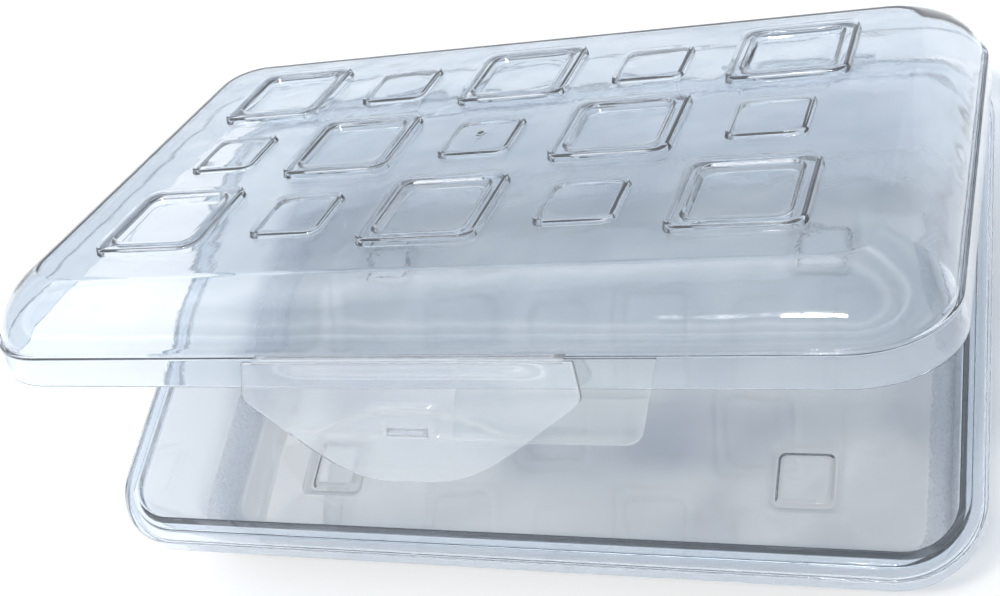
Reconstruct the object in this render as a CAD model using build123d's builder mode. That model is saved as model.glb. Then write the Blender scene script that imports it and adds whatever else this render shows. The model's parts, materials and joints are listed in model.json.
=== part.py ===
from build123d import *

import os
from math import cos, radians, sin

os.makedirs("parts", exist_ok=True)

# Clear hinged mould case: a shallow tray, a domed lid on two living hinges, a snap flap and a film seal.
# The tray stands on four small feet in the plane Z = 0, with its front towards -Y. The lid stands partly
# open, as its hinges hold it. The origin is the middle of the open case's footprint, level with the
# underside of the feet.

# Whole case, in millimetres
CASE_W = 210.0
CASE_D = 133.0
CORNER_R = 19.0
WALL = 1.1
LID_OPEN_DEG = 25.7
# The open lid overhangs the back of the tray and the flap its front, by nearly as much.
TRAY_Y = -0.1

# Tray
FOOT_H = 1.2
FLOOR_TOP = FOOT_H + WALL
TRAY_DEPTH = 30.3
LIP_TOP = FLOOR_TOP + TRAY_DEPTH
LIP_STEP = 1.3
FLANGE_TOP = LIP_TOP - LIP_STEP
FLANGE_RUN = 3.1
SKIRT_H = 5.0
RIM_SIDE = 5.6
RIM_END = 6.4
RIM_ROUND = 0.4
PAN_TAPER = 4.6
PAN_TOP_R = 11.0
PAN_FLOOR_R = 10.0
PAN_FILLET = 6.5
FOOT_W = 18.2
FOOT_TAPER_DEG = 55.0
FOOT_R = 2.6
FOOT_X = 62.1
FOOT_Y = 31.6

# Rear hinge: the axis runs just behind the rims, level with the bottom edge of the closed lid.
LID_GAP = 0.3
HINGE_OUT = 0.6
HINGE_Y = TRAY_Y + CASE_D / 2 + HINGE_OUT
HINGE_Z = FLANGE_TOP + LID_GAP
HINGE_WEB_X = 58.0
HINGE_WEB_W = 38.0
HINGE_WEB_T = 0.45
HINGE_WEB_R = 1.5
HINGE_WEB_END_DEG = 123.0

# Lid, measured up from its bottom edge
BAND_H = 7.7
BAND_DRAFT = 0.4
LEDGE = 1.2
PLATE_Z = 19.5
SHOULDER_RUN = 11.5
SHOULDER_INNER_RUN = 10.9
SHOULDER_TURN = radians(48)
SHOULDER_STEPS = 4
PLATE_R = 9.0

# Raised squares on the lid: a chequer of framed and plain ones
PITCH_X = 32.4
PITCH_Y = 31.3
COLUMNS = 5
ROWS = 3
SQUARE_TAPER_DEG = 12.0
FRAMED_W = 27.5
FRAMED_R = 3.6
FRAMED_H = 1.7
WELL_W = 19.0
WELL_R = 2.4
PLAIN_W = 17.4
PLAIN_R = 2.6
PLAIN_H = 1.2

# Snap flap, measured down from its film hinge at the top of the lid's band
FLAP_X = 3.3
FLAP_OUT = 0.8
FLAP_T = 1.1
FLAP_REST_DEG = 21.0
FLAP_TOP_GAP = 0.35
FLAP_TOP_HALF_W = 35.0
FLAP_HALF_W = 36.0
FLAP_WING_DROP = 7.6
FLAP_FLANK_HALF_W = 22.0
FLAP_FLANK_DROP = 17.6
FLAP_DROP = 24.4
FLAP_WING_R = 3.0
FLAP_FLANK_SLOPE = (-0.79, -0.61)
CATCH_W = 13.0
CATCH_TOP = 8.5
CATCH_BOTTOM = 14.8
CATCH_RIB_W = 0.8
CATCH_RIB_H = 0.6
BEAD_W = 9.0
BEAD_TOP = 13.5
BEAD_H = 1.8
BEAD_DEPTH = 1.3
FLAP_WEB_W = 66.0
FLAP_WEB_T = 0.35
FLAP_WEB_IN = 1.0
FLAP_WEB_OUT = 0.8

# Film seal, stuck to the front of the lid's band and cut through below the lid's edge
SEAL_T = 0.2
SEAL_RIGHT = 51.2
SEAL_W = 38.5
SEAL_SLANT = 0.32
SEAL_TOP = 7.0
SEAL_BEND_TOP = 0.7
SEAL_BEND_BOTTOM = -0.2
SEAL_BOTTOM = -12.6
SEAL_STEP = 0.2
SEAL_LEAN = 0.35
SEAL_R = 3.0

OPEN = radians(LID_OPEN_DEG)
FLAP_TILT = radians(LID_OPEN_DEG + FLAP_REST_DEG)

TRAY = Plane((0, TRAY_Y, 0))
# The lid's own frame: the hinge axis along X, Y towards the back and Z up through the lid.
LID = Plane((0, HINGE_Y, HINGE_Z), x_dir=(1, 0, 0), z_dir=(0, sin(OPEN), cos(OPEN)))
LID_MID_Y = -HINGE_OUT - CASE_D / 2
LID_FRONT_Y = -HINGE_OUT - CASE_D
# The flap's own frame: its film hinge along X, Y up the flap and Z outwards.
FLAP = Plane(
    LID.from_local_coords((FLAP_X, LID_FRONT_Y - FLAP_OUT, BAND_H)),
    x_dir=(1, 0, 0),
    z_dir=(0, -cos(FLAP_TILT), sin(FLAP_TILT)),
)


def lid_level(z):
    """The plane across the lid at a height above its bottom edge, centred on the lid."""
    return Plane(LID.from_local_coords((0, LID_MID_Y, z)), x_dir=LID.x_dir, z_dir=LID.z_dir)


def outline(side, end, radius):
    """The rounded outline of the case, drawn in by side at its ends in X and by end in Y."""
    return RectangleRounded(CASE_W - 2 * side, CASE_D - 2 * end, radius)


def slab(plane, inset, radius, height):
    """A block with the outline of the case, drawn in evenly."""
    with BuildSketch(plane) as section:
        outline(inset, inset, radius)
    extrude(section.sketch, amount=height)


def bowl(skin, bottom, top):
    """The tapering bowl of the tray, with skin added outside its inner face."""
    with BuildSketch(TRAY.offset(bottom)) as low:
        outline(RIM_SIDE + PAN_TAPER - skin, RIM_END + PAN_TAPER - skin, PAN_FLOOR_R + skin)
    with BuildSketch(TRAY.offset(top)) as high:
        outline(RIM_SIDE - skin, RIM_END - skin, PAN_TOP_R + skin)
    loft([low.sketch.face(), high.sketch.face()])


def band(inset, bottom, top):
    """The nearly upright band round the lid's edge, drawn in by inset."""
    with BuildSketch(lid_level(bottom)) as low:
        outline(inset, inset, CORNER_R - inset)
    with BuildSketch(lid_level(top)) as high:
        outline(inset + BAND_DRAFT, inset + BAND_DRAFT, CORNER_R - inset - BAND_DRAFT)
    loft([low.sketch.face(), high.sketch.face()])


def dome(skin, run):
    """The convex shoulder and flat plate above the band, with skin taken off its outer face."""
    foot = BAND_DRAFT + LEDGE + skin
    sections = []
    for step in range(SHOULDER_STEPS + 1):
        turn = SHOULDER_TURN * step / SHOULDER_STEPS
        across = (1 - cos(turn)) / (1 - cos(SHOULDER_TURN))
        rise = sin(turn) / sin(SHOULDER_TURN)
        inset = foot + run * across
        radius = CORNER_R - foot + (PLATE_R - CORNER_R + foot) * across
        with BuildSketch(lid_level(BAND_H - skin + (PLATE_Z - BAND_H) * rise)) as section:
            outline(inset, inset, radius)
        sections.append(section.sketch.face())
    loft(sections)


def chequer(framed):
    """The places of the framed or of the plain squares, from the lid's middle."""
    return [
        ((column - (COLUMNS - 1) / 2) * PITCH_X, (row - (ROWS - 1) / 2) * PITCH_Y)
        for row in range(ROWS)
        for column in range(COLUMNS)
        if ((row + column) % 2 == 0) == framed
    ]


def squares(level, framed, width, radius, inner=None, inner_radius=0):
    """A sketch of every framed or plain square, or of a ring where inner is given."""
    with BuildSketch(lid_level(level)) as sketch:
        with Locations(*chequer(framed)):
            RectangleRounded(width, width, radius)
            if inner:
                RectangleRounded(inner, inner, inner_radius, mode=Mode.SUBTRACT)
    return sketch


# ---- Tray ----
with BuildPart() as bowl_hollow:
    bowl(0, FLOOR_TOP, LIP_TOP)
    fillet(bowl_hollow.faces().sort_by(Axis.Z)[0].edges(), PAN_FILLET)

with BuildPart() as bowl_outer:
    bowl(WALL, FOOT_H, FLANGE_TOP)
    fillet(bowl_outer.faces().sort_by(Axis.Z)[0].edges(), PAN_FILLET + WALL)

with BuildPart() as skirt_hollow:
    slab(TRAY.offset(FLANGE_TOP - SKIRT_H), WALL, CORNER_R - WALL, SKIRT_H - WALL)

with BuildPart() as base_tray:
    slab(TRAY.offset(FLANGE_TOP - SKIRT_H), 0, CORNER_R, SKIRT_H)
    fillet(base_tray.faces().sort_by(Axis.Z)[-1].edges(), RIM_ROUND)
    add(skirt_hollow.part, mode=Mode.SUBTRACT)
    slab(TRAY.offset(FLANGE_TOP - WALL), FLANGE_RUN, CORNER_R - FLANGE_RUN, LIP_STEP + WALL)
    add(bowl_outer.part)
    add(bowl_hollow.part, mode=Mode.SUBTRACT)
    # Each foot is a shallow square dish pressed down through the floor.
    with BuildSketch(TRAY.offset(FOOT_H)):
        with GridLocations(2 * FOOT_X, 2 * FOOT_Y, 2, 2):
            RectangleRounded(FOOT_W, FOOT_W, FOOT_R)
    extrude(amount=-FOOT_H, taper=FOOT_TAPER_DEG)
    with BuildSketch(TRAY.offset(FLOOR_TOP)):
        with GridLocations(2 * FOOT_X, 2 * FOOT_Y, 2, 2):
            RectangleRounded(FOOT_W, FOOT_W, FOOT_R)
    extrude(amount=-FOOT_H, taper=FOOT_TAPER_DEG, mode=Mode.SUBTRACT)
base_tray.part.label = "base_tray"
export_step(base_tray.part, "parts/base_tray.step")

# ---- Lid ----
with BuildPart() as lid_band:
    band(0, 0, BAND_H)

with BuildPart() as lid_dome:
    dome(0, SHOULDER_RUN)

with BuildPart() as lid_band_hollow:
    band(WALL, 0, BAND_H - WALL)

with BuildPart() as lid_dome_hollow:
    dome(WALL, SHOULDER_INNER_RUN)

with BuildPart() as lid_shell:
    add(lid_band.part)
    add(lid_dome.part)
    add(lid_band_hollow.part, mode=Mode.SUBTRACT)
    add(lid_dome_hollow.part, mode=Mode.SUBTRACT)
    # Framed squares: a raised square ring round a well, hollow underneath.
    extrude(squares(PLATE_Z, True, FRAMED_W, FRAMED_R).sketch, amount=FRAMED_H, taper=SQUARE_TAPER_DEG)
    well = squares(PLATE_Z + FRAMED_H, True, WELL_W, WELL_R)
    extrude(well.sketch, amount=-FRAMED_H, taper=SQUARE_TAPER_DEG, mode=Mode.SUBTRACT)
    ring = squares(PLATE_Z - WALL, True, FRAMED_W - 2 * WALL, FRAMED_R - WALL, WELL_W + WALL, WELL_R)
    extrude(ring.sketch, amount=FRAMED_H, mode=Mode.SUBTRACT)
    # Plain squares: a low flat step, hollow underneath.
    extrude(squares(PLATE_Z, False, PLAIN_W, PLAIN_R).sketch, amount=PLAIN_H, taper=SQUARE_TAPER_DEG)
    pocket = squares(PLATE_Z - WALL, False, PLAIN_W - 2 * WALL, PLAIN_R - WALL)
    extrude(pocket.sketch, amount=PLAIN_H, mode=Mode.SUBTRACT)
lid_shell.part.label = "lid_shell"
export_step(lid_shell.part, "parts/lid_shell.step")


# ---- Rear hinge webs ----
def hinge_web(x):
    """One thin web bent round the back of the hinge axis, from the tray's skirt to the lid's band."""
    sweep_angle = 2 * HINGE_WEB_END_DEG - LID_OPEN_DEG
    section = Plane((x - HINGE_WEB_W / 2, HINGE_Y, HINGE_Z), x_dir=(0, 1, 0), z_dir=(1, 0, 0))
    with BuildPart() as web:
        with BuildSketch(section) as profile:
            with BuildLine():
                outer = CenterArc((0, 0), HINGE_WEB_R, -HINGE_WEB_END_DEG, sweep_angle)
                inner = CenterArc((0, 0), HINGE_WEB_R - HINGE_WEB_T, -HINGE_WEB_END_DEG, sweep_angle)
                Line(outer @ 0, inner @ 0)
                Line(outer @ 1, inner @ 1)
            make_face()
        extrude(profile.sketch, amount=HINGE_WEB_W)
        add(base_tray.part, mode=Mode.SUBTRACT)
        add(lid_shell.part, mode=Mode.SUBTRACT)
    return web.part


for side, x in (("left", -HINGE_WEB_X), ("right", HINGE_WEB_X)):
    web = hinge_web(x)
    web.label = f"hinge_web_{side}"
    export_step(web, f"parts/hinge_web_{side}.step")

# ---- Snap flap ----
with BuildPart() as latch_flap:
    with BuildSketch(FLAP) as flap_sheet:
        with BuildLine():
            top = Line((0, -FLAP_TOP_GAP), (FLAP_TOP_HALF_W, -FLAP_TOP_GAP))
            side = Line(top @ 1, (FLAP_HALF_W, -FLAP_WING_DROP))
            Spline(
                side @ 1,
                (FLAP_FLANK_HALF_W, -FLAP_FLANK_DROP),
                (0, -FLAP_DROP),
                tangents=(FLAP_FLANK_SLOPE, (-1, 0)),
            )
            mirror(about=Plane.YZ)
        make_face()
        corners = flap_sheet.vertices().group_by(Axis.X)
        fillet(corners[0] + corners[-1], FLAP_WING_R)
    extrude(amount=FLAP_T)
    # The catch housing: a three-sided rib on the outside, open towards the tip.
    with BuildSketch(FLAP.offset(FLAP_T)):
        with Locations((0, -(CATCH_TOP + CATCH_BOTTOM) / 2)):
            Rectangle(CATCH_W, CATCH_BOTTOM - CATCH_TOP)
        with Locations((0, -(CATCH_TOP + CATCH_RIB_W + CATCH_BOTTOM) / 2)):
            Rectangle(CATCH_W - 2 * CATCH_RIB_W, CATCH_BOTTOM - CATCH_TOP - CATCH_RIB_W, mode=Mode.SUBTRACT)
    extrude(amount=CATCH_RIB_H)
    # The bead inside hooks under the tray's skirt.
    with BuildSketch(FLAP):
        with Locations((0, -BEAD_TOP - BEAD_H / 2)):
            Rectangle(BEAD_W, BEAD_H)
    extrude(amount=-BEAD_DEPTH)
latch_flap.part.label = "latch_flap"
export_step(latch_flap.part, "parts/latch_flap.step")

with BuildPart() as flap_web:
    with BuildSketch(lid_level(BAND_H - FLAP_WEB_T)):
        with Locations((FLAP_X, LID_FRONT_Y - LID_MID_Y + (FLAP_WEB_IN - FLAP_OUT - FLAP_WEB_OUT) / 2)):
            Rectangle(FLAP_WEB_W, FLAP_WEB_IN + FLAP_OUT + FLAP_WEB_OUT)
    extrude(amount=FLAP_WEB_T)
    add(lid_shell.part, mode=Mode.SUBTRACT)
    add(latch_flap.part, mode=Mode.SUBTRACT)
flap_web.part.label = "flap_web"
export_step(flap_web.part, "parts/flap_web.step")

# ---- Film seal ----
with BuildPart() as film_seal:
    seal_section = Plane(LID.origin, x_dir=LID.y_dir, z_dir=LID.x_dir)
    draft_slope = BAND_DRAFT / BAND_H
    face_line = (
        (LID_FRONT_Y + draft_slope * SEAL_TOP, SEAL_TOP),
        (LID_FRONT_Y + draft_slope * SEAL_BEND_TOP, SEAL_BEND_TOP),
        (LID_FRONT_Y - SEAL_STEP, SEAL_BEND_BOTTOM),
        (LID_FRONT_Y - SEAL_LEAN, SEAL_BOTTOM),
    )
    with BuildSketch(seal_section):
        with BuildLine():
            Polyline(*face_line, *[(y - SEAL_T, z) for y, z in reversed(face_line)], close=True)
        make_face()
    extrude(amount=CASE_W / 2)
    # Its sides slant: it leans towards the flap as it runs down.
    with BuildSketch(Plane(LID.from_local_coords((0, LID_FRONT_Y, 0)), x_dir=LID.x_dir, z_dir=-LID.y_dir)):
        with BuildLine():
            Polyline(
                (SEAL_RIGHT + SEAL_SLANT * SEAL_TOP, SEAL_TOP),
                (SEAL_RIGHT + SEAL_SLANT * SEAL_BOTTOM, SEAL_BOTTOM),
                (SEAL_RIGHT - SEAL_W + SEAL_SLANT * SEAL_BOTTOM, SEAL_BOTTOM),
                (SEAL_RIGHT - SEAL_W + SEAL_SLANT * SEAL_TOP, SEAL_TOP),
                close=True,
            )
        make_face()
    extrude(amount=BAND_H, both=True, mode=Mode.INTERSECT)
    lower_corners = film_seal.edges().filter_by(lambda edge: edge.length < 2 * SEAL_T)
    fillet(lower_corners.sort_by(Axis.Z)[:2], SEAL_R)
film_seal.part.label = "film_seal"
export_step(film_seal.part, "parts/film_seal.step")
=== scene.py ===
import json
from math import atan2, cos, pi, radians, sin

import bmesh
import bpy
from mathutils import Matrix, Vector


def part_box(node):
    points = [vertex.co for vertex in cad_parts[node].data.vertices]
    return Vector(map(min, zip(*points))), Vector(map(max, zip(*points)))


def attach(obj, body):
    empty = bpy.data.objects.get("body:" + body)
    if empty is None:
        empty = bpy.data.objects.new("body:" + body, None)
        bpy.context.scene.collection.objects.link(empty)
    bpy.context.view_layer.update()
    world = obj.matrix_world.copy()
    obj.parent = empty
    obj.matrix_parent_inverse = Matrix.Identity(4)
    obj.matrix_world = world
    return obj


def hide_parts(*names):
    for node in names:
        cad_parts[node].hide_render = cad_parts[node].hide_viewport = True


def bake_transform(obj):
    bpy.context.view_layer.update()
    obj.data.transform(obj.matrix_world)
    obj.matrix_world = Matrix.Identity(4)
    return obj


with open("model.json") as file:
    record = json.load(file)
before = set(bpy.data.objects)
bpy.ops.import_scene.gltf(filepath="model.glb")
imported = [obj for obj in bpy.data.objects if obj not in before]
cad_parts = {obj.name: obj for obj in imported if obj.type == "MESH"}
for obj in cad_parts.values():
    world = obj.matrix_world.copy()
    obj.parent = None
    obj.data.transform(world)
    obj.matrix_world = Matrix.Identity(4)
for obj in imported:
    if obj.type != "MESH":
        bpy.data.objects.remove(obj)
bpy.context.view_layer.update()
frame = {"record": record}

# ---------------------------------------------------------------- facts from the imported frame
MM = 0.001
JOINTS = {j["name"]: j for j in frame["record"]["behaviour"]["joints"]}
LID_HINGE = Vector(JOINTS["lid_hinge"]["pos_m"])
FLAP_HINGE = Vector(JOINTS["flap_hinge"]["pos_m"])
OPEN = radians(-JOINTS["lid_hinge"]["range_deg"][0])
FLAP_REST = radians(-JOINTS["flap_hinge"]["range_deg"][0])

TRAY_LOW, TRAY_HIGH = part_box("base_tray")
HALF_W = (TRAY_HIGH[0] - TRAY_LOW[0]) / 2 / MM
HALF_D = (TRAY_HIGH[1] - TRAY_LOW[1]) / 2 / MM
TRAY_MID_Y = (TRAY_HIGH[1] + TRAY_LOW[1]) / 2 / MM
LIP_TOP = TRAY_HIGH[2] / MM

# ---------------------------------------------------------------- shape sizes, in millimetres
WALL = 1.1
CORNER_R = 19.0

# The tray's rim and bowl
SKIRT_H = 5.0
LIP_STEP = 1.3
FLANGE_RUN = 3.1
RIM_SIDE = 5.6
RIM_END = 6.4
PAN_TAPER = 4.6
PAN_TOP_R = 11.0
PAN_FLOOR_R = 10.0
PAN_FILLET = 6.5
FLOOR_TOP = 2.3
FOOT_HALF = 9.1
FOOT_R = 2.6
FOOT_X = 62.1
FOOT_Y = 31.6

# The lid
HINGE_OUT = 0.6
BAND_H = 7.7
BAND_DRAFT = 0.4
LEDGE = 1.2
PLATE_Z = 19.5
SHOULDER_RUN = 11.5
SHOULDER_INNER_RUN = 10.9
SHOULDER_TURN = radians(48)
PLATE_R = 9.0
PITCH_X = 32.4
PITCH_Y = 31.3

TRAY_FRAME = Matrix.Translation((0, TRAY_MID_Y * MM, 0)) @ Matrix.Scale(MM, 4)
LID_FRAME = Matrix.Translation(LID_HINGE) @ Matrix.Rotation(-OPEN, 4, "X") @ Matrix.Scale(MM, 4)
LID_MID_Y = -HINGE_OUT - HALF_D
LID_FRONT_Y = -HINGE_OUT - 2 * HALF_D
# The flap's own frame: X along its film hinge, Y up the flap and Z outwards.
FLAP_FRAME = (
    Matrix.Translation(FLAP_HINGE)
    @ Matrix.Rotation(pi / 2 - OPEN - FLAP_REST, 4, "X")
    @ Matrix.Scale(MM, 4)
)


# ---------------------------------------------------------------- mesh helpers
CORNER_STEPS = 14
SIDE_STEPS = 6


def rounded(half_x, half_y, radius, corner_steps=CORNER_STEPS, side_steps=SIDE_STEPS):
    """The points of a rounded rectangle, anticlockwise, always in the same number."""
    points = []
    for sx, sy, start in ((1, 1, 0), (-1, 1, 90), (-1, -1, 180), (1, -1, 270)):
        cx, cy = sx * (half_x - radius), sy * (half_y - radius)
        for i in range(corner_steps + 1):
            a = radians(start + 90 * i / corner_steps)
            points.append((cx + radius * cos(a), cy + radius * sin(a)))
    spread = []
    for i, p in enumerate(points):
        spread.append(p)
        q = points[(i + 1) % len(points)]
        if (i + 1) % (corner_steps + 1) == 0:
            spread += [
                (p[0] + (q[0] - p[0]) * k / side_steps, p[1] + (q[1] - p[1]) * k / side_steps)
                for k in range(1, side_steps)
            ]
    return spread


def add_ring(bm, points, z, centre=(0, 0)):
    return [bm.verts.new((centre[0] + x, centre[1] + y, z)) for x, y in points]


def bridge(bm, a, b):
    """Quads between two rings of the same number of vertices."""
    n = len(a)
    for i in range(n):
        bm.faces.new((a[i], a[(i + 1) % n], b[(i + 1) % n], b[i]))


def ring_edges(bm, ring):
    pairs = [(v, ring[(i + 1) % len(ring)]) for i, v in enumerate(ring)]
    return [bm.edges.get(pair) or bm.edges.new(pair) for pair in pairs]


def fill(bm, outer, holes=()):
    """A flat face set inside one ring and outside the others."""
    edges = ring_edges(bm, outer)
    for hole in holes:
        edges += ring_edges(bm, hole)
    bmesh.ops.triangle_fill(bm, use_beauty=True, use_dissolve=False, edges=edges)


def column(bm, profile, centre=(0, 0), corner_steps=5, side_steps=2):
    """Rings of rounded squares up a profile of (half side, height, radius); the first and last ring."""
    rings = [
        add_ring(bm, rounded(h, h, r, corner_steps, side_steps), z, centre) for h, z, r in profile
    ]
    for a, b in zip(rings, rings[1:]):
        bridge(bm, a, b)
    return rings[0], rings[-1]


def sweep(bm, profile):
    """Rings of the case's outline up a profile of (side inset, end inset, height, radius)."""
    rings = [
        add_ring(bm, rounded(HALF_W - ds, HALF_D - de, r), z) for ds, de, z, r in profile
    ]
    for a, b in zip(rings, rings[1:]):
        bridge(bm, a, b)
    return rings


def finish_mesh(bm, name, matrix, material):
    """An object from a closed mesh drawn in millimetres, moved into the row frame by its matrix."""
    bmesh.ops.recalc_face_normals(bm, faces=bm.faces)
    mesh = bpy.data.meshes.new(name)
    bm.to_mesh(mesh)
    bm.free()
    mesh.transform(matrix)
    for p in mesh.polygons:
        p.use_smooth = True
    mesh.materials.append(material)
    obj = bpy.data.objects.new(name, mesh)
    bpy.context.scene.collection.objects.link(obj)
    weighted = obj.modifiers.new("weighted normals", "WEIGHTED_NORMAL")
    weighted.mode = "FACE_AREA"
    weighted.weight = 50
    return obj


def sheet_grid(bm, outer, inner, rows, columns):
    """A closed sheet whose two faces are outer(u, v) and inner(u, v), u down and v across, 0 to 1."""
    faces = []
    for side in (outer, inner):
        faces.append([
            [bm.verts.new(side(r / rows, c / columns)) for c in range(columns + 1)]
            for r in range(rows + 1)
        ])
    for grid in faces:
        for r in range(rows):
            for c in range(columns):
                bm.faces.new((grid[r][c], grid[r][c + 1], grid[r + 1][c + 1], grid[r + 1][c]))
    a, b = faces
    for r in range(rows):
        bm.faces.new((a[r][0], a[r + 1][0], b[r + 1][0], b[r][0]))
        bm.faces.new((a[r][-1], a[r + 1][-1], b[r + 1][-1], b[r][-1]))
    for c in range(columns):
        bm.faces.new((a[0][c], a[0][c + 1], b[0][c + 1], b[0][c]))
        bm.faces.new((a[-1][c], a[-1][c + 1], b[-1][c + 1], b[-1][c]))


# ---------------------------------------------------------------- materials
PLASTIC_IOR = 1.56
# How deep the bumps are, in metres.
WAVE_DEPTH = 0.002
GRAIN_DEPTH = 0.0002
SPECKLE_DEPTH = 0.0016
# What the textured fillet adds to the roughness, and the painted shade it adds to the light lamps pass
# through it, for a darker band under it.
FILLET_FROST = 0.38
FILLET_SHADE = 0.45
# How strongly the painted shade streaks darken the light passed through, and how far edges stand out in
# shadow.
STREAK_SHADE = 0.16
EDGE_BLEND = 0.18


def clear_material(name, tint_low, tint_high, rough, wave, grain, clarity, shade, zone=False):
    """Clear moulded plastic with slight waviness, haze and orange peel.

    tint_low, tint_high: the colours its haze runs between; rough: lowest and highest roughness;
    wave, grain: strengths of its slow and fine bump; clarity: the share that isn't milky;
    shade: what lamps pass through it face on and edge on, before painted shade streaks; zone: whether
    its fillet is textured and given a painted shade band.
    """
    material = bpy.data.materials.new(name)
    material.use_nodes = True
    nodes, links = material.node_tree.nodes, material.node_tree.links
    shader = nodes["Principled BSDF"]
    shader.inputs["Transmission Weight"].default_value = clarity
    shader.inputs["IOR"].default_value = PLASTIC_IOR
    coords = nodes.new("ShaderNodeTexCoord")

    def noise(scale, detail=2.0, roughness=0.5):
        node = nodes.new("ShaderNodeTexNoise")
        node.inputs["Scale"].default_value = scale
        node.inputs["Detail"].default_value = detail
        node.inputs["Roughness"].default_value = roughness
        links.new(coords.outputs["Object"], node.inputs["Vector"])
        return node

    haze = noise(55, 3)
    ramp = nodes.new("ShaderNodeMix")
    ramp.data_type = "RGBA"
    ramp.inputs["A"].default_value = (*tint_low, 1)
    ramp.inputs["B"].default_value = (*tint_high, 1)
    links.new(haze.outputs["Fac"], ramp.inputs["Factor"])
    links.new(ramp.outputs["Result"], shader.inputs["Base Color"])

    scratch = noise(420, 4, 0.65)
    rough_map = nodes.new("ShaderNodeMapRange")
    rough_map.inputs["From Min"].default_value = 0.35
    rough_map.inputs["From Max"].default_value = 0.75
    rough_map.inputs["To Min"].default_value = rough[0]
    rough_map.inputs["To Max"].default_value = rough[1]
    links.new(scratch.outputs["Fac"], rough_map.inputs["Value"])

    waves = noise(38, 2)
    bump_wave = nodes.new("ShaderNodeBump")
    bump_wave.inputs["Strength"].default_value = wave
    bump_wave.inputs["Distance"].default_value = WAVE_DEPTH
    links.new(waves.outputs["Fac"], bump_wave.inputs["Height"])
    grains = noise(1300, 2)
    bump_grain = nodes.new("ShaderNodeBump")
    bump_grain.inputs["Strength"].default_value = grain
    bump_grain.inputs["Distance"].default_value = GRAIN_DEPTH
    links.new(grains.outputs["Fac"], bump_grain.inputs["Height"])
    links.new(bump_wave.outputs["Normal"], bump_grain.inputs["Normal"])
    last = bump_grain
    if zone:
        # Where the bowl's wall turns into its floor the mould is textured.
        mark = nodes.new("ShaderNodeAttribute")
        mark.attribute_name = "texture_and_shade_zone"
        speckle = noise(950, 3, 0.6)
        textured = nodes.new("ShaderNodeBump")
        textured.inputs["Distance"].default_value = SPECKLE_DEPTH
        links.new(speckle.outputs["Fac"], textured.inputs["Height"])
        links.new(mark.outputs["Fac"], textured.inputs["Strength"])
        links.new(bump_grain.outputs["Normal"], textured.inputs["Normal"])
        frost = nodes.new("ShaderNodeMath")
        frost.operation = "MULTIPLY_ADD"
        frost.inputs[1].default_value = FILLET_FROST
        links.new(mark.outputs["Fac"], frost.inputs[0])
        links.new(rough_map.outputs["Result"], frost.inputs[2])
        links.new(frost.outputs["Value"], shader.inputs["Roughness"])
        last = textured
    else:
        links.new(rough_map.outputs["Result"], shader.inputs["Roughness"])
    links.new(last.outputs["Normal"], shader.inputs["Normal"])

    # Lamps shine through the sheet, less so where it stands steeply to them.
    facing = nodes.new("ShaderNodeLayerWeight")
    facing.inputs["Blend"].default_value = EDGE_BLEND
    passed = nodes.new("ShaderNodeMix")
    passed.data_type = "RGBA"
    passed.inputs["A"].default_value = (*shade[0], 1)
    passed.inputs["B"].default_value = (*shade[1], 1)
    # Painted shade streaks: a noise darkens in bands the light lamps pass through the sheet, in place
    # of the traced caustics of its uneven thickness.
    streaks = noise(16, 2, 0.4)
    streaks.inputs["Distortion"].default_value = 1.6
    bands = nodes.new("ShaderNodeMapRange")
    bands.interpolation_type = "SMOOTHSTEP"
    bands.inputs["From Min"].default_value = 0.42
    bands.inputs["From Max"].default_value = 0.66
    bands.inputs["To Max"].default_value = STREAK_SHADE
    links.new(streaks.outputs["Fac"], bands.inputs["Value"])
    held = nodes.new("ShaderNodeMath")
    held.operation = "ADD"
    held.use_clamp = True
    links.new(facing.outputs["Facing"], held.inputs[0])
    links.new(bands.outputs["Result"], held.inputs[1])
    # Painted shade: the marked fillet passes less of the lamps' light, so a darker band falls under it.
    if zone:
        shaded = nodes.new("ShaderNodeMath")
        shaded.operation = "MULTIPLY_ADD"
        shaded.inputs[1].default_value = FILLET_SHADE
        links.new(mark.outputs["Fac"], shaded.inputs[0])
        links.new(bands.outputs["Result"], shaded.inputs[2])
        links.new(shaded.outputs["Value"], held.inputs[1])
    links.new(held.outputs["Value"], passed.inputs["Factor"])
    through = nodes.new("ShaderNodeBsdfTransparent")
    links.new(passed.outputs["Result"], through.inputs["Color"])
    path = nodes.new("ShaderNodeLightPath")
    mix = nodes.new("ShaderNodeMixShader")
    links.new(path.outputs["Is Shadow Ray"], mix.inputs["Fac"])
    links.new(shader.outputs["BSDF"], mix.inputs[1])
    links.new(through.outputs["BSDF"], mix.inputs[2])
    links.new(mix.outputs["Shader"], nodes["Material Output"].inputs["Surface"])
    return material


SHADE = ((0.985, 0.99, 0.995), (0.30, 0.36, 0.46))
tray_plastic = clear_material(
    "tray_plastic", (0.82, 0.87, 0.925), (0.87, 0.91, 0.955),
    rough=(0.01, 0.06), wave=0.10, grain=0.02, clarity=0.94, shade=SHADE, zone=True,
)
lid_plastic = clear_material(
    "lid_plastic", (0.80, 0.85, 0.90), (0.90, 0.93, 0.96),
    rough=(0.01, 0.05), wave=0.34, grain=0.02, clarity=0.95, shade=SHADE,
)
flap_plastic = clear_material(
    "flap_plastic", (0.90, 0.925, 0.945), (0.95, 0.96, 0.97),
    rough=(0.04, 0.14), wave=0.14, grain=0.04, clarity=0.84, shade=SHADE,
)
film_plastic = clear_material(
    "film_plastic", (0.86, 0.89, 0.88), (0.92, 0.94, 0.93),
    rough=(0.01, 0.05), wave=0.30, grain=0.02, clarity=0.93, shade=SHADE,
)

# ---------------------------------------------------------------- tray
FLANGE_TOP = LIP_TOP - LIP_STEP
SKIRT_BOTTOM = FLANGE_TOP - SKIRT_H
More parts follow.
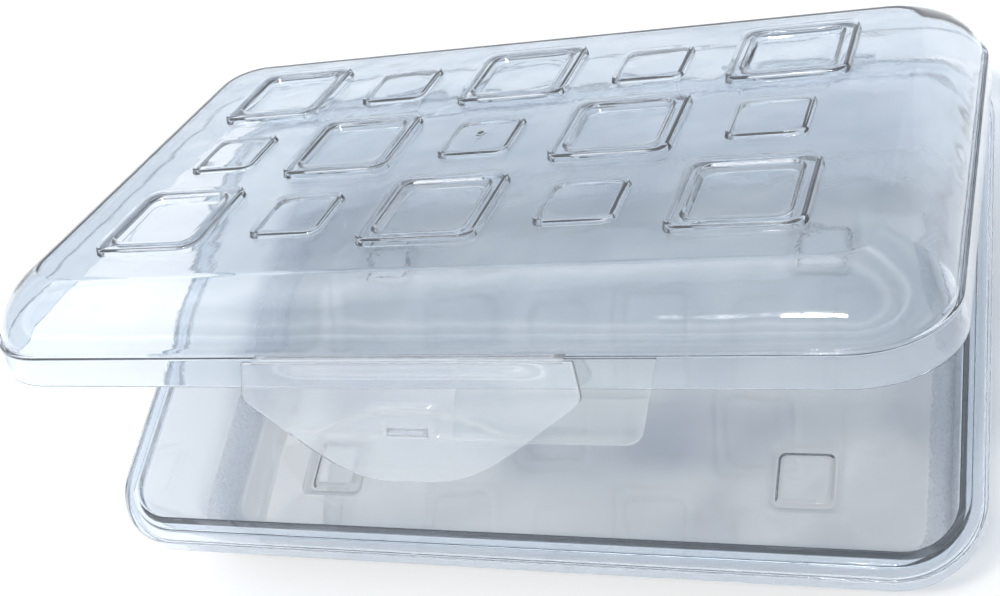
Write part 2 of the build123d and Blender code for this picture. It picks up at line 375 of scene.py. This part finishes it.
# How far below the lip the bowl's wall has rings, and how its corners close over the fillet.
WALL_RINGS = (1.0, 8.0, 16.0)
FILLET_STEPS = 9
FILLET_TIGHTENS = 0.55
LEAST_CORNER_R = 3.0


def even(inset, z):
    """One ring of a profile that keeps the case's own corners, the same distance in all round."""
    return (inset, inset, z, CORNER_R - inset)


def bowl_profile(skin, top, bottom, fillet_r):
    """Rings down the bowl's wall and round its fillet to the floor, moved outwards by skin.

    Also gives how far round the fillet each ring is, from 0 to 1.
    """
    depth = top - bottom
    slope = PAN_TAPER / depth
    lean = Vector((slope, 1)).normalized()

    def wall_at(z):
        return PAN_TAPER - skin - slope * (z - bottom)

    centre_z = bottom + fillet_r
    centre_in = wall_at(centre_z) + fillet_r / lean[1]
    points = [(wall_at(top - down), top - down, 0.0) for down in WALL_RINGS]
    start, end = -pi + atan2(slope, 1.0), -pi / 2
    for k in range(FILLET_STEPS + 1):
        a = start + (end - start) * k / FILLET_STEPS
        points.append((centre_in + fillet_r * cos(a), centre_z + fillet_r * sin(a), k / FILLET_STEPS))
    rings = []
    for inset, z, _ in points:
        corner_r = (PAN_TOP_R + (PAN_FLOOR_R - PAN_TOP_R) * (top - z) / depth) + skin
        radius = max(corner_r - FILLET_TIGHTENS * max(inset - wall_at(z), 0), LEAST_CORNER_R)
        rings.append((RIM_SIDE + inset, RIM_END + inset, z, radius))
    return rings, [part for _, _, part in points]


bm = bmesh.new()
zone_layer = bm.verts.layers.float.new("texture_and_shade_zone")
top_side = [
    even(0.25, SKIRT_BOTTOM),
    even(0.0, SKIRT_BOTTOM + 0.25),
    even(0.0, FLANGE_TOP - 0.5),
    even(0.05, FLANGE_TOP - 0.28),
    even(0.17, FLANGE_TOP - 0.1),
    even(0.4, FLANGE_TOP),
    even(FLANGE_RUN - 0.35, FLANGE_TOP),
    even(FLANGE_RUN - 0.12, FLANGE_TOP + 0.1),
    even(FLANGE_RUN, FLANGE_TOP + 0.35),
    even(FLANGE_RUN + 0.03, LIP_TOP - 0.4),
    even(FLANGE_RUN + 0.15, LIP_TOP - 0.12),
    even(FLANGE_RUN + 0.45, LIP_TOP),
    (RIM_SIDE - 0.55, RIM_END - 0.55, LIP_TOP, PAN_TOP_R + 0.55),
    (RIM_SIDE - 0.2, RIM_END - 0.2, LIP_TOP - 0.1, PAN_TOP_R + 0.2),
    (RIM_SIDE + 0.02, RIM_END + 0.02, LIP_TOP - 0.4, PAN_TOP_R),
]
bowl_rings, bowl_part = bowl_profile(0.0, LIP_TOP, FLOOR_TOP, PAN_FILLET)
top_rings = sweep(bm, top_side + bowl_rings)
# The rings round the fillet get the mould texture and a painted shade band.
for ring, part in zip(top_rings[len(top_side):], bowl_part):
    for v in ring:
        v[zone_layer] = 0.0 if part <= 0.1 or part >= 0.97 else 1.0

under_side = [
    even(0.85, SKIRT_BOTTOM),
    even(WALL, SKIRT_BOTTOM + 0.25),
    even(WALL, FLANGE_TOP - WALL - 0.35),
    even(WALL + 0.35, FLANGE_TOP - WALL),
    (RIM_SIDE - WALL - 0.35, RIM_END - WALL - 0.35, FLANGE_TOP - WALL, PAN_TOP_R + WALL + 0.35),
    (RIM_SIDE - WALL, RIM_END - WALL, FLANGE_TOP - WALL - 0.35, PAN_TOP_R + WALL),
]
outer_rings, outer_part = bowl_profile(WALL, FLANGE_TOP - 1.6, FLOOR_TOP - WALL, PAN_FILLET + WALL)
under_rings = sweep(bm, under_side + outer_rings)
bridge(bm, under_rings[0], top_rings[0])

feet_top, feet_under = [], []
for sx in (-1, 1):
    for sy in (-1, 1):
        centre = (sx * FOOT_X, sy * FOOT_Y)
        a, b = column(bm, (
            (FOOT_HALF, FLOOR_TOP, FOOT_R),
            (FOOT_HALF - 0.2, FLOOR_TOP - 0.07, FOOT_R - 0.1),
            (7.55, FLOOR_TOP - 1.13, 2.0),
            (7.3, FLOOR_TOP - 1.2, 1.9),
            (6.2, FLOOR_TOP - 1.2, 1.6),
            (5.9, FLOOR_TOP - 1.1, 1.5),
            (5.3, FLOOR_TOP - 0.3, 1.3),
            (5.0, FLOOR_TOP - 0.2, 1.2),
        ), centre)
        feet_top.append(a)
        fill(bm, b)
        a, b = column(bm, (
            (FOOT_HALF + 0.1, FLOOR_TOP - WALL, FOOT_R + 0.1),
            (7.5, 0.07, 2.0),
            (7.25, 0.0, 1.9),
            (6.9, 0.0, 1.8),
            (6.7, 0.1, 1.7),
            (5.9, 0.9, 1.5),
            (5.6, 0.98, 1.4),
        ), centre)
        feet_under.append(a)
        fill(bm, b)
fill(bm, top_rings[-1], feet_top)
fill(bm, under_rings[-1], feet_under)
tray = finish_mesh(bm, "tray_body", TRAY_FRAME, tray_plastic)
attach(tray, "tray")
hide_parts("base_tray")

# ---------------------------------------------------------------- lid
SHOULDER_STEPS = 12
PLATE_EASE = 0.6


def dome_profile(skin, run):
    """Rings up the convex shoulder from the ledge to the plate, moved inwards by skin."""
    foot = BAND_DRAFT + LEDGE + skin
    rings = []
    for k in range(1, SHOULDER_STEPS + 1):
        turn = SHOULDER_TURN * k / SHOULDER_STEPS
        across = (1 - cos(turn)) / (1 - cos(SHOULDER_TURN))
        rise = sin(turn) / sin(SHOULDER_TURN)
        inset = foot + run * across
        radius = CORNER_R - foot + (PLATE_R - CORNER_R + foot) * across
        rings.append((inset, inset, BAND_H - skin + (PLATE_Z - BAND_H) * rise, radius))
    return rings


def tangent_end(rings, level, step):
    """Eases the last ring from the shoulder's slope onto the flat plate."""
    ds, de, _, r = rings[-1]
    before = rings[-2]
    mid = [(p + 3 * q) / 4 for p, q in zip(before, rings[-1])]
    return rings[:-1] + [
        tuple(mid),
        (ds + 0.05, de + 0.05, level - 0.06, r),
        (ds + step, de + step, level, r - step / 2),
    ]


bm = bmesh.new()
lid_outer = [
    even(0.25, 0.0),
    even(0.0, 0.25),
    even(BAND_DRAFT * 0.5, BAND_H * 0.5),
    even(BAND_DRAFT * 0.95, BAND_H - 0.4),
    even(BAND_DRAFT + 0.1, BAND_H - 0.12),
    even(BAND_DRAFT + 0.4, BAND_H),
    even(BAND_DRAFT + LEDGE - 0.3, BAND_H),
    even(BAND_DRAFT + LEDGE - 0.1, BAND_H + 0.1),
] + tangent_end(dome_profile(0, SHOULDER_RUN), PLATE_Z, PLATE_EASE)
lid_inner = [
    even(WALL - 0.25, 0.0),
    even(WALL, 0.25),
    even(WALL + BAND_DRAFT * 0.9, BAND_H - WALL - 0.4),
    even(WALL + BAND_DRAFT + 0.35, BAND_H - WALL),
    even(WALL + BAND_DRAFT + LEDGE - 0.3, BAND_H - WALL),
    even(WALL + BAND_DRAFT + LEDGE - 0.1, BAND_H - WALL + 0.1),
] + tangent_end(dome_profile(WALL, SHOULDER_INNER_RUN), PLATE_Z - WALL, PLATE_EASE)
rings_out = sweep(bm, lid_outer)
rings_in = sweep(bm, lid_inner)
bridge(bm, rings_in[0], rings_out[0])

holes_out, holes_in = [], []
for row in range(3):
    for col in range(5):
        centre = ((col - 2) * PITCH_X, (row - 1) * PITCH_Y)
        if (row + col) % 2 == 0:
            a, b = column(bm, (
                (13.75, PLATE_Z, 3.6),
                (13.62, PLATE_Z + 0.12, 3.5),
                (13.42, PLATE_Z + 1.3, 3.4),
                (13.25, PLATE_Z + 1.58, 3.3),
                (12.95, PLATE_Z + 1.7, 3.1),
                (10.35, PLATE_Z + 1.7, 2.9),
                (10.05, PLATE_Z + 1.58, 2.8),
                (9.8, PLATE_Z + 1.25, 2.7),
                (9.3, PLATE_Z + 0.15, 2.4),
                (9.05, PLATE_Z, 2.3),
            ), centre)
            holes_out.append(a)
            fill(bm, b)
            a, b = column(bm, (
                (12.65, PLATE_Z - WALL, 2.5),
                (12.5, PLATE_Z - WALL + 0.12, 2.4),
                (12.35, PLATE_Z + 0.45, 2.3),
                (12.15, PLATE_Z + 0.6, 2.2),
                (10.85, PLATE_Z + 0.6, 3.1),
                (10.6, PLATE_Z + 0.4, 3.2),
                (10.3, PLATE_Z - WALL + 0.12, 3.2),
                (10.1, PLATE_Z - WALL, 3.2),
            ), centre)
            holes_in.append(a)
            fill(bm, b)
        else:
            a, b = column(bm, (
                (8.7, PLATE_Z, 2.6),
                (8.58, PLATE_Z + 0.12, 2.55),
                (8.42, PLATE_Z + 0.9, 2.5),
                (8.28, PLATE_Z + 1.1, 2.4),
                (8.0, PLATE_Z + 1.2, 2.2),
            ), centre)
            holes_out.append(a)
            if (row, col) == (1, 2):
                # The moulding gate leaves a small ring in the middle of the plate.
                gate, end = column(bm, (
                    (1.3, PLATE_Z + 1.2, 1.25),
                    (1.1, PLATE_Z + 1.42, 1.05),
                    (0.8, PLATE_Z + 1.42, 0.75),
                    (0.55, PLATE_Z + 1.2, 0.5),
                ), centre)
                fill(bm, b, [gate])
                fill(bm, end)
            else:
                fill(bm, b)
            a, b = column(bm, (
                (7.6, PLATE_Z - WALL, 1.9),
                (7.45, PLATE_Z - WALL + 0.12, 1.8),
                (7.3, PLATE_Z - 0.1, 1.7),
                (7.0, PLATE_Z + 0.1, 1.5),
            ), centre)
            holes_in.append(a)
            fill(bm, b)
fill(bm, rings_out[-1], holes_out)
fill(bm, rings_in[-1], holes_in)
lid = finish_mesh(bm, "lid_body", LID_FRAME @ Matrix.Translation((0, LID_MID_Y, 0)), lid_plastic)
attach(lid, "lid")
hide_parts("lid_shell")

# ---------------------------------------------------------------- snap flap
FLAP_TOP_GAP = 0.35
FLAP_T = 1.1
FLAP_DROP = 24.4
CATCH_HALF_W = 6.5
CATCH_TOP = 8.5
CATCH_BOTTOM = 14.8
CATCH_LIFT = 0.5
RECESS_DEPTH = 0.35
ARCH_RISE = 5.0
ARCH_HALF_W = 20.0
ARCH_LIFT = 0.8
FOLD_LIFT = 0.35
FLAP_FACE = 0.9
FLAP_SHEET = FLAP_T * 0.62


def smooth(edge0, edge1, x):
    """0 before edge0, 1 past edge1, and an S curve between them."""
    t = min(max((x - edge0) / (edge1 - edge0), 0.0), 1.0)
    return t * t * (3 - 2 * t)


FLANK = (
    (0.0, 34.9), (0.9, 35.15), (7.0, 36.0), (8.0, 35.6), (9.2, 34.2), (11.2, 31.4),
    (14.4, 26.7), (17.6, 22.0), (20.6, 17.1), (22.6, 12.9), (23.7, 9.1), (24.2, 5.4),
    (24.4, 2.2),
)


def flap_half(drop):
    """The flap's half width at a distance below its hinge."""
    for (d0, w0), (d1, w1) in zip(FLANK, FLANK[1:]):
        if drop <= d1:
            return w0 + (w1 - w0) * (drop - d0) / (d1 - d0)
    return FLANK[-1][1]


def flap_lift(x, drop):
    """How far the catch housing, with the recess in it, stands out from the flap's face."""
    below = smooth(CATCH_BOTTOM + 0.4, CATCH_BOTTOM, drop)
    housing = smooth(CATCH_HALF_W, CATCH_HALF_W - 0.7, abs(x))
    housing *= smooth(CATCH_TOP, CATCH_TOP + 0.7, drop) * below
    recess = smooth(CATCH_HALF_W - 1.6, CATCH_HALF_W - 2.3, abs(x)) * smooth(10.4, 11.0, drop)
    recess *= below
    return CATCH_LIFT * housing - RECESS_DEPTH * recess


def flap_bow(x, drop):
    """The sheet's own bend: proud above an arch over the catch, and again below the fold."""
    arch = CATCH_BOTTOM - ARCH_RISE * (1 - min(abs(x) / ARCH_HALF_W, 1.0) ** 2)
    above = ARCH_LIFT * smooth(arch + 1.0, arch - 1.0, drop) * smooth(31.0, 22.0, abs(x))
    above *= smooth(0.5, 3.5, drop)
    fold = FOLD_LIFT * smooth(14.6, 15.3, drop) * smooth(FLAP_DROP, 21.0, drop)
    return above + fold


def flap_face(offset):
    def at(u, v):
        drop = FLAP_TOP_GAP + (FLAP_DROP - 0.05 - FLAP_TOP_GAP) * (1 - (1 - u) ** 1.25)
        half = flap_half(drop)
        s = 2 * v - 1
        x = s * half
        z = FLAP_FACE + flap_bow(x, drop) + flap_lift(x, drop)
        return (x, -drop, z + offset)
    return at


bm = bmesh.new()
sheet_grid(bm, flap_face(0.0), flap_face(-FLAP_SHEET), 72, 120)
flap = finish_mesh(bm, "snap_flap", FLAP_FRAME, flap_plastic)
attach(flap, "flap")
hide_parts("latch_flap")

bm = bmesh.new()
BEAD_HALF_W = 4.5
BEAD_TOP = 13.5
BEAD_H = 1.8
BEAD_DEPTH = 1.3


def bead_face(offset):
    def at(u, v):
        round_x = (1 - abs(2 * v - 1) ** 6)
        hump = sin(pi * u) ** 0.6 * round_x
        depth = (BEAD_DEPTH + 0.3) * hump * offset
        return (BEAD_HALF_W * (2 * v - 1), -BEAD_TOP - BEAD_H * u, 0.35 - depth)
    return at


sheet_grid(bm, bead_face(0.0), bead_face(1.0), 10, 24)
bmesh.ops.remove_doubles(bm, verts=bm.verts, dist=1e-5)
bead = finish_mesh(bm, "flap_bead", FLAP_FRAME, flap_plastic)
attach(bead, "flap")

# ---------------------------------------------------------------- film seal
SEAL_W = 38.5
SEAL_RIGHT = 51.2
SEAL_SLANT = 0.32
SEAL_TOP = 7.0
SEAL_BOTTOM = -12.6
SEAL_T = 0.18
SEAL_R = 3.0


def seal_face(offset):
    def at(u, v):
        z = SEAL_TOP + (SEAL_BOTTOM - SEAL_TOP) * u
        right = SEAL_RIGHT + SEAL_SLANT * z
        left = right - SEAL_W
        low = max(SEAL_BOTTOM + SEAL_R - z, 0.0) / SEAL_R
        pull = SEAL_R * (1 - (1 - min(low, 1.0) ** 2) ** 0.5)
        x = left + pull + (right - left - 2 * pull) * v
        draft = BAND_DRAFT / BAND_H
        if z > 0.5:
            y = LID_FRONT_Y + draft * z
        else:
            below = 0.5 - z
            wave = sin(below * 0.62) * (1 - 0.35 * (x - left) / SEAL_W)
            y = LID_FRONT_Y + draft * 0.5 - 0.25 * smooth(0, 2, below)
            y -= 0.22 * wave * smooth(0, 2.5, below)
        return (x, y - 0.03 - offset, z)
    return at


bm = bmesh.new()
sheet_grid(bm, seal_face(SEAL_T), seal_face(0.0), 60, 24)
seal = finish_mesh(bm, "film_seal_sheet", LID_FRAME, film_plastic)
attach(seal, "lid")
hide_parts("film_seal")

# ---------------------------------------------------------------- hinges
HINGE_WEB_R = 1.5
HINGE_WEB_T = 0.45
HINGE_WEB_END = radians(123)


def web_face(x0, x1, radius):
    def at(u, v):
        a = -HINGE_WEB_END + (2 * HINGE_WEB_END - OPEN) * u
        return (
            (x0 + (x1 - x0) * v) * MM,
            LID_HINGE[1] + radius * cos(a) * MM,
            LID_HINGE[2] + radius * sin(a) * MM,
        )
    return at


for side in ("left", "right"):
    low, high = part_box(f"hinge_web_{side}")
    bm = bmesh.new()
    x0, x1 = low[0] / MM, high[0] / MM
    sheet_grid(
        bm, web_face(x0, x1, HINGE_WEB_R), web_face(x0, x1, HINGE_WEB_R - HINGE_WEB_T), 24, 8
    )
    web = finish_mesh(bm, f"hinge_strip_{side}", Matrix.Identity(4), lid_plastic)
    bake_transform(web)
    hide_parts(f"hinge_web_{side}")

FLAP_X = FLAP_HINGE[0] / MM
FLAP_WEB_HALF_W = 33.0


def flap_web_face(offset):
    def at(u, v):
        y = LID_FRONT_Y + 0.75 - 2.1 * u
        z = BAND_H - 0.02 - 0.45 * smooth(0.45, 1.0, u) - offset
        return (FLAP_X + FLAP_WEB_HALF_W * (2 * v - 1), y, z)
    return at


bm = bmesh.new()
sheet_grid(bm, flap_web_face(0.0), flap_web_face(0.3), 12, 24)
flap_strip = finish_mesh(bm, "flap_strip", LID_FRAME, flap_plastic)
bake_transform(flap_strip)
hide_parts("flap_web")

# ---------------------------------------------------------------- floor, light and camera
floor_mesh = bpy.data.meshes.new("floor")
FLOOR_HALF = 3.0
floor_mesh.from_pydata(
    [(x * FLOOR_HALF, y * FLOOR_HALF, 0) for x, y in ((-1, -1), (1, -1), (1, 1), (-1, 1))],
    [],
    [(0, 1, 2, 3)],
)
floor = bpy.data.objects.new("floor", floor_mesh)
floor.location.z = -0.2 * MM
bpy.context.scene.collection.objects.link(floor)
paper = bpy.data.materials.new("paper")
paper.use_nodes = True
pn, pl = paper.node_tree.nodes, paper.node_tree.links
paper_shader = pn["Principled BSDF"]
paper_shader.inputs["Roughness"].default_value = 0.9
paper_shader.inputs["Specular IOR Level"].default_value = 0.0
grain_node = pn.new("ShaderNodeTexNoise")
grain_node.inputs["Scale"].default_value = 8
paper_mix = pn.new("ShaderNodeMix")
paper_mix.data_type = "RGBA"
paper_mix.inputs["A"].default_value = (0.955, 0.945, 0.925, 1)
paper_mix.inputs["B"].default_value = (0.97, 0.96, 0.94, 1)
pl.new(grain_node.outputs["Fac"], paper_mix.inputs["Factor"])
pl.new(paper_mix.outputs["Result"], paper_shader.inputs["Base Color"])
floor_mesh.materials.append(paper)

world = bpy.data.worlds.new("studio")
bpy.context.scene.world = world
world.use_nodes = True
wn, wl = world.node_tree.nodes, world.node_tree.links
background = wn["Background"]
direction = wn.new("ShaderNodeTexCoord")
split = wn.new("ShaderNodeSeparateXYZ")
wl.new(direction.outputs["Generated"], split.inputs["Vector"])
sky = wn.new("ShaderNodeValToRGB")
sky.color_ramp.elements[0].position = 0.0
sky.color_ramp.elements[0].color = (0.80, 0.85, 0.92, 1)
sky.color_ramp.elements[1].position = 1.0
sky.color_ramp.elements[1].color = (0.62, 0.72, 0.86, 1)
for place, tone in (
    (0.10, (0.46, 0.53, 0.66)),
    (0.22, (0.85, 0.89, 0.95)),
    (0.34, (0.34, 0.42, 0.55)),
    (0.50, (0.42, 0.51, 0.66)),
    (0.57, (2.6, 2.65, 2.7)),
    (0.63, (0.50, 0.59, 0.72)),
    (0.74, (0.80, 0.85, 0.92)),
    (0.80, (1.9, 1.95, 2.0)),
    (0.87, (0.45, 0.54, 0.68)),
):
    stop = sky.color_ramp.elements.new(place)
    stop.color = (*tone, 1)
wl.new(split.outputs["Z"], sky.inputs["Fac"])
wl.new(sky.outputs["Color"], background.inputs["Color"])
background.inputs["Strength"].default_value = 0.8


def soft_light(name, where, towards, size_x, size_y, power, colour=(1, 1, 1)):
    lamp = bpy.data.lights.new(name, "AREA")
    lamp.shape = "RECTANGLE"
    lamp.size, lamp.size_y = size_x, size_y
    lamp.energy = power
    lamp.color = colour
    obj = bpy.data.objects.new(name, lamp)
    obj.location = where
    obj.rotation_euler = (Vector(towards) - Vector(where)).to_track_quat("-Z", "Y").to_euler()
    bpy.context.scene.collection.objects.link(obj)
    return obj


soft_light("key_box", (-0.10, -0.60, 1.50), (0, 0, 0), 0.22, 0.12, 15.0, (1.0, 0.99, 0.97))
soft_light("top_box", (-0.5, 0.6, 1.2), (0, 0, 0), 1.2, 0.6, 1.6, (0.93, 0.96, 1.0))

CAMERA_AT = Vector((0.12428, -0.16369, 0.30765))
CAMERA_AHEAD = Vector((-0.38637, 0.47320, -0.79170)).normalized()
CAMERA_RIGHT = Vector((0.92211, 0.17885, -0.34312))
right = (CAMERA_RIGHT - CAMERA_RIGHT.dot(CAMERA_AHEAD) * CAMERA_AHEAD).normalized()
up = right.cross(CAMERA_AHEAD)
camera_data = bpy.data.cameras.new("camera")
camera_data.lens = 50.605
camera_data.sensor_width = 36.0
camera_data.clip_start = 0.01
camera = bpy.data.objects.new("camera", camera_data)
camera.matrix_world = Matrix((
    (right[0], up[0], -CAMERA_AHEAD[0], CAMERA_AT[0]),
    (right[1], up[1], -CAMERA_AHEAD[1], CAMERA_AT[1]),
    (right[2], up[2], -CAMERA_AHEAD[2], CAMERA_AT[2]),
    (0, 0, 0, 1),
))
bpy.context.scene.collection.objects.link(camera)
bpy.context.scene.camera = camera

scene = bpy.context.scene
scene.view_settings.view_transform = "Standard"
scene.cycles.max_bounces = 14
scene.cycles.transmission_bounces = 14
scene.cycles.transparent_max_bounces = 16
scene.cycles.glossy_bounces = 4
scene.cycles.diffuse_bounces = 3
scene.cycles.caustics_refractive = False
scene.cycles.caustics_reflective = False
scene.cycles.sample_clamp_indirect = 6.0
